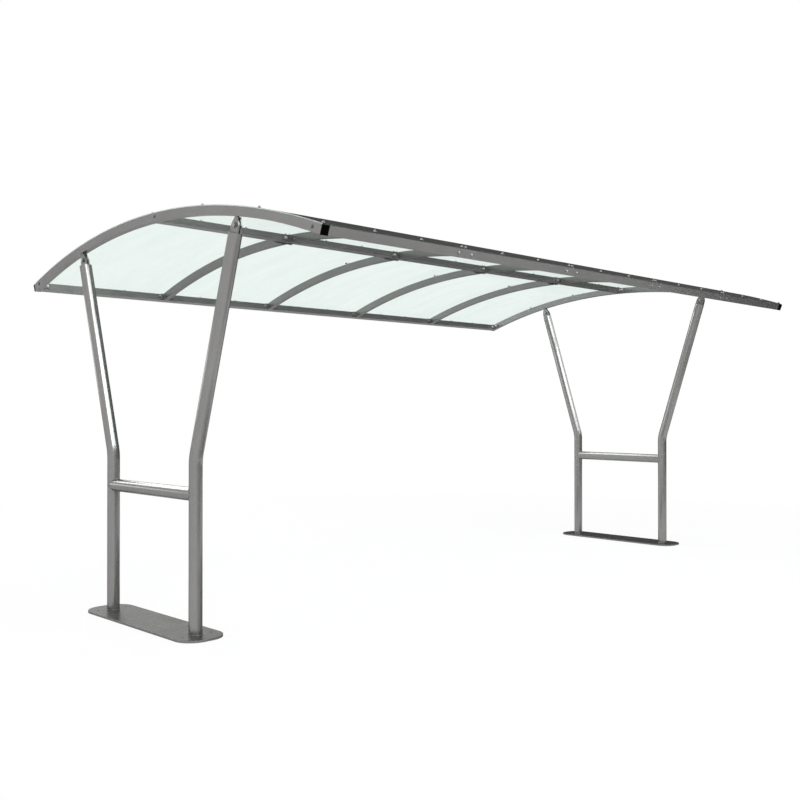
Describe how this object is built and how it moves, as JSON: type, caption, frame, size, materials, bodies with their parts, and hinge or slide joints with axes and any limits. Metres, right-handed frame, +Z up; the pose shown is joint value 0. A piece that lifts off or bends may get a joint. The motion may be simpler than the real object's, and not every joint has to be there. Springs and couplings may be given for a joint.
{
  "type": "bike shelter",
  "caption": "Open bike shelter: a shallow barrel roof of clear sheets on a grid of painted box tubes, carried by two frames of bent round legs on base plates.",
  "frame": {"origin": "on the ground, at the centre of the shelter's plan", "axes": "+X along the shelter, +Y to its back eave, +Z up"},
  "size_m": [5.285, 3.1524, 2.404],
  "materials": {
    "frame_paint": "satin grey powder coat",
    "bolt_steel": "zinc plated",
    "cap_plastic": "moulded black",
    "roof_sheet": "clear sheet with a pale green tint"
  },
  "bodies": {
    "root": {"near_base_plate": "frame_paint", "near_crossbar": "frame_paint", "near_end_rib": "frame_paint", "near_purlin_cleat": "frame_paint", "near_back_leg": "frame_paint", "near_back_fork": "frame_paint", "near_back_cleat": "frame_paint", "near_front_leg": "frame_paint", "near_front_fork": "frame_paint", "near_front_cleat": "frame_paint", "far_base_plate": "frame_paint", "far_crossbar": "frame_paint", "far_end_rib": "frame_paint", "far_purlin_cleat": "frame_paint", "far_back_leg": "frame_paint", "far_back_fork": "frame_paint", "far_back_cleat": "frame_paint", "far_front_leg": "frame_paint", "far_front_fork": "frame_paint", "far_front_cleat": "frame_paint", "back_eave_beam": "frame_paint", "back_rib_1": "frame_paint", "back_rib_2": "frame_paint", "back_rib_3": "frame_paint", "back_rib_4": "frame_paint", "front_eave_beam": "frame_paint", "front_rib_1": "frame_paint", "front_rib_2": "frame_paint", "front_rib_3": "frame_paint", "front_rib_4": "frame_paint", "mid_purlin": "frame_paint", "near_back_fork_bolt": "bolt_steel", "near_front_fork_bolt": "bolt_steel", "far_back_fork_bolt": "bolt_steel", "far_front_fork_bolt": "bolt_steel", "near_back_rib_cap": "cap_plastic", "near_front_rib_cap": "cap_plastic", "far_back_rib_cap": "cap_plastic", "far_front_rib_cap": "cap_plastic", "roof_sheet_1": "roof_sheet", "roof_sheet_2": "roof_sheet", "roof_sheet_3": "roof_sheet", "roof_sheet_4": "roof_sheet", "roof_sheet_5": "roof_sheet"}
  },
  "joints": []
}
